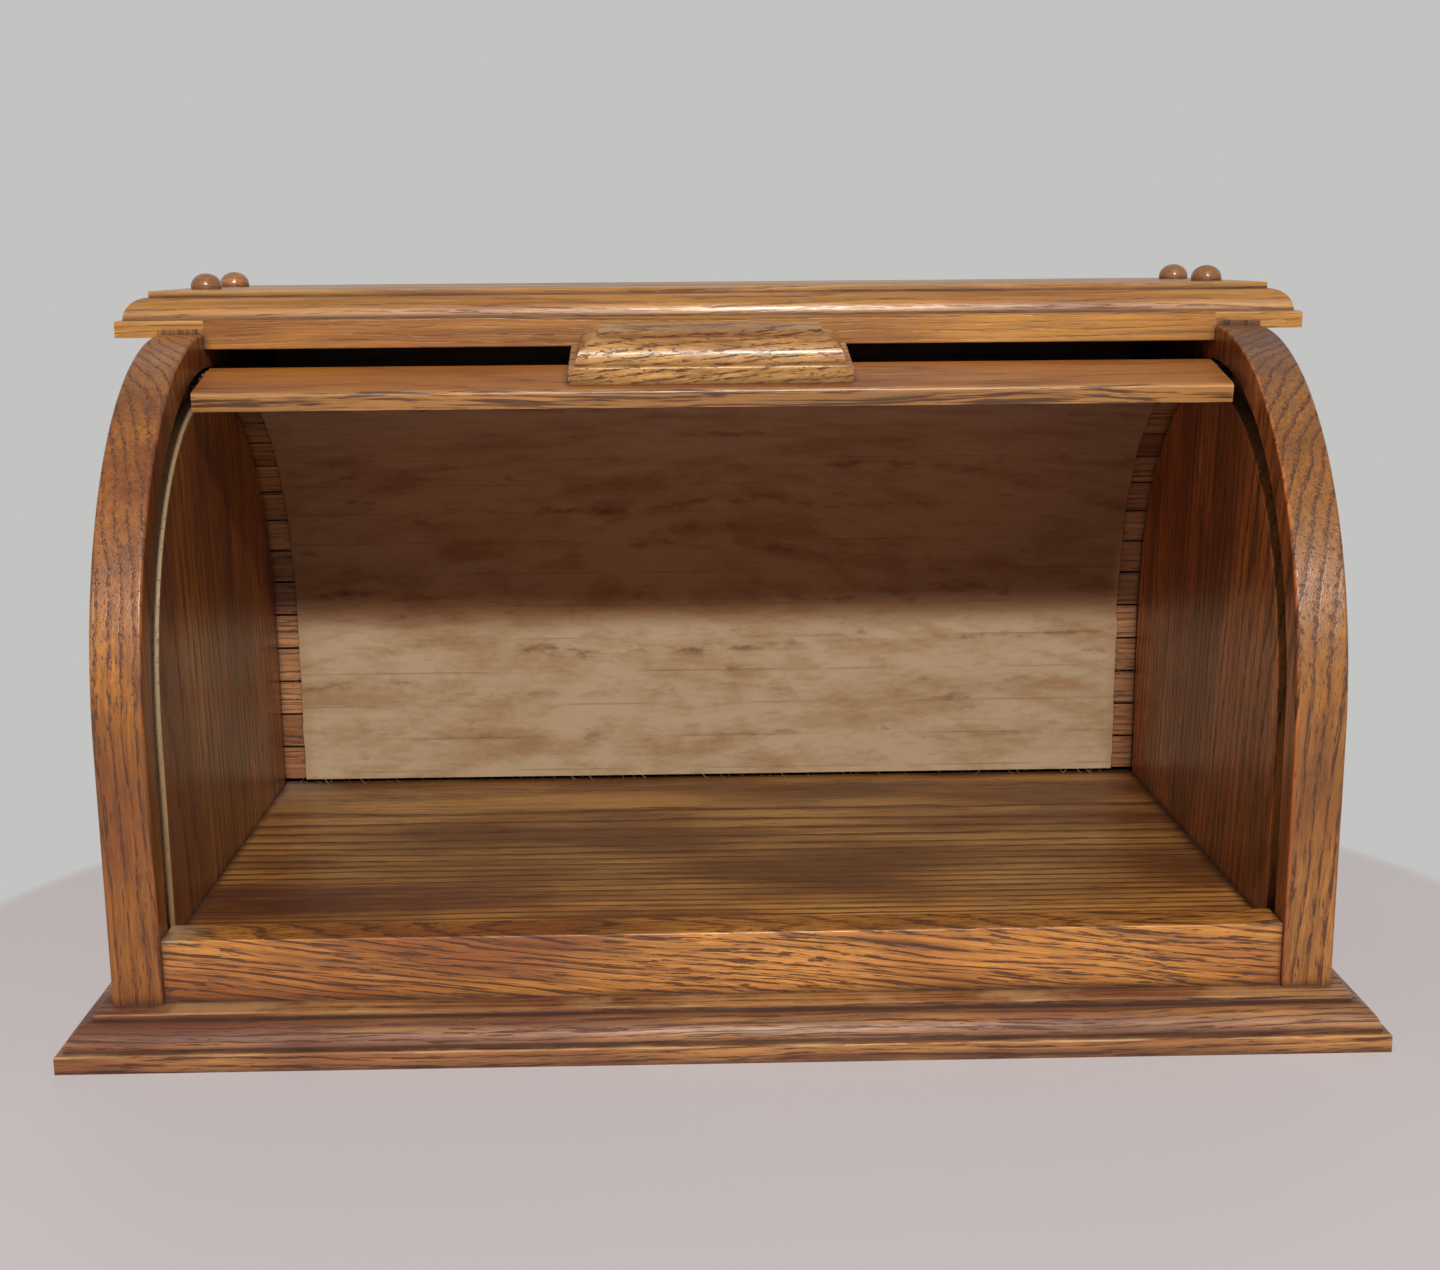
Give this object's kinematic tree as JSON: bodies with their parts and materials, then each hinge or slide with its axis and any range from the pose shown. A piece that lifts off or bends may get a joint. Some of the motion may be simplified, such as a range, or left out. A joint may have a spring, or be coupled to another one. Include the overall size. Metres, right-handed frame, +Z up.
{
  "type": "bread box with roll top",
  "caption": "Oak bread box with an arched front, a roll-top tambour on a canvas backing, a moulded base and top board, and a lift handle.",
  "frame": {"origin": "centre of the base board's underside, on the surface it stands on", "axes": "+X to the right across the width, +Y from the opening to the back, +Z up"},
  "size_m": [0.479, 0.312, 0.2754],
  "materials": {
    "horizontal_oak": "satin varnish, grain along the width",
    "upright_oak": "satin varnish, grain upright",
    "base_oak": "satin varnish, worn and darker in the moulding",
    "floor_oak": "satin varnish",
    "slat_oak": "satin varnish",
    "plug_oak": "gloss varnish",
    "plain_oak": "bare",
    "plywood": "thin varnish",
    "canvas": "cotton canvas, glued",
    "steel": "zinc plated"
  },
  "bodies": {
    "case": {"base_board": "base_oak", "left_side": "upright_oak", "right_side": "upright_oak", "top_board": "horizontal_oak", "top_rail": "horizontal_oak", "front_rail": "horizontal_oak", "floor_panel": "floor_oak", "floor_cleats": "plain_oak", "back_panel": "plywood", "back_panel_pins": "steel", "button_plugs": "plug_oak", "top_screws": "steel", "base_screws": "steel"},
    "curtain": {"slat_02": "slat_oak", "slat_03": "slat_oak", "slat_04": "slat_oak", "slat_05": "slat_oak", "slat_06": "slat_oak", "slat_07": "slat_oak", "slat_08": "slat_oak", "slat_09": "slat_oak", "slat_10": "slat_oak", "slat_11": "slat_oak", "slat_12": "slat_oak", "slat_13": "slat_oak", "canvas_curtain": "canvas"},
    "upper_link": {"slat_01": "slat_oak", "canvas_01": "canvas"},
    "lead": {"lead_rail": "horizontal_oak", "handle": "horizontal_oak", "handle_screws": "steel", "guide_pegs": "steel", "canvas_lead": "canvas"},
    "tail_link_14": {"slat_14": "slat_oak", "canvas_14": "canvas"},
    "tail_link_15": {"slat_15": "slat_oak", "canvas_15": "canvas"},
    "tail_link_16": {"slat_16": "slat_oak", "canvas_16": "canvas"},
    "tail_link_17": {"slat_17": "slat_oak", "canvas_17": "canvas"}
  },
  "joints": [
    {"name": "tambour_roll", "type": "hinge", "parent": "case", "child": "curtain", "pos_m": [0, 0.0038, 0.1125], "axis": [1, 0, 0], "range_deg": [0, 100.82]},
    {"name": "slat_01_bend", "type": "hinge", "parent": "curtain", "child": "upper_link", "pos_m": [0, 0.00985, 0.23105], "axis": [1, 0, 0], "range_deg": [-5.55, 0]},
    {"name": "lead_bend", "type": "hinge", "parent": "upper_link", "child": "lead", "pos_m": [0, -0.00613, 0.23078], "axis": [1, 0, 0], "range_deg": [-17.07, 0]},
    {"name": "slat_14_bend", "type": "hinge", "parent": "curtain", "child": "tail_link_14", "pos_m": [0, 0.12193, 0.10092], "axis": [1, 0, 0], "range_deg": [-9.61, 0]},
    {"name": "slat_15_bend", "type": "hinge", "parent": "tail_link_14", "child": "tail_link_15", "pos_m": [0, 0.12193, 0.08493], "axis": [1, 0, 0], "range_deg": [-7.87, 0]},
    {"name": "slat_16_bend", "type": "hinge", "parent": "tail_link_15", "child": "tail_link_16", "pos_m": [0, 0.12193, 0.06894], "axis": [1, 0, 0], "range_deg": [-7.87, 0]},
    {"name": "slat_17_bend", "type": "hinge", "parent": "tail_link_16", "child": "tail_link_17", "pos_m": [0, 0.12193, 0.05295], "axis": [1, 0, 0], "range_deg": [-7.87, 0]}
  ],
  "couplings": [
    {"joint": "slat_01_bend", "follows": "tambour_roll", "ratio": -0.05356},
    {"joint": "lead_bend", "follows": "tambour_roll", "ratio": -0.16782},
    {"joint": "slat_14_bend", "follows": "tambour_roll", "ratio": -0.09385},
    {"joint": "slat_15_bend", "follows": "tambour_roll", "ratio": -0.0766},
    {"joint": "slat_16_bend", "follows": "tambour_roll", "ratio": -0.0766},
    {"joint": "slat_17_bend", "follows": "tambour_roll", "ratio": -0.0766}
  ]
}
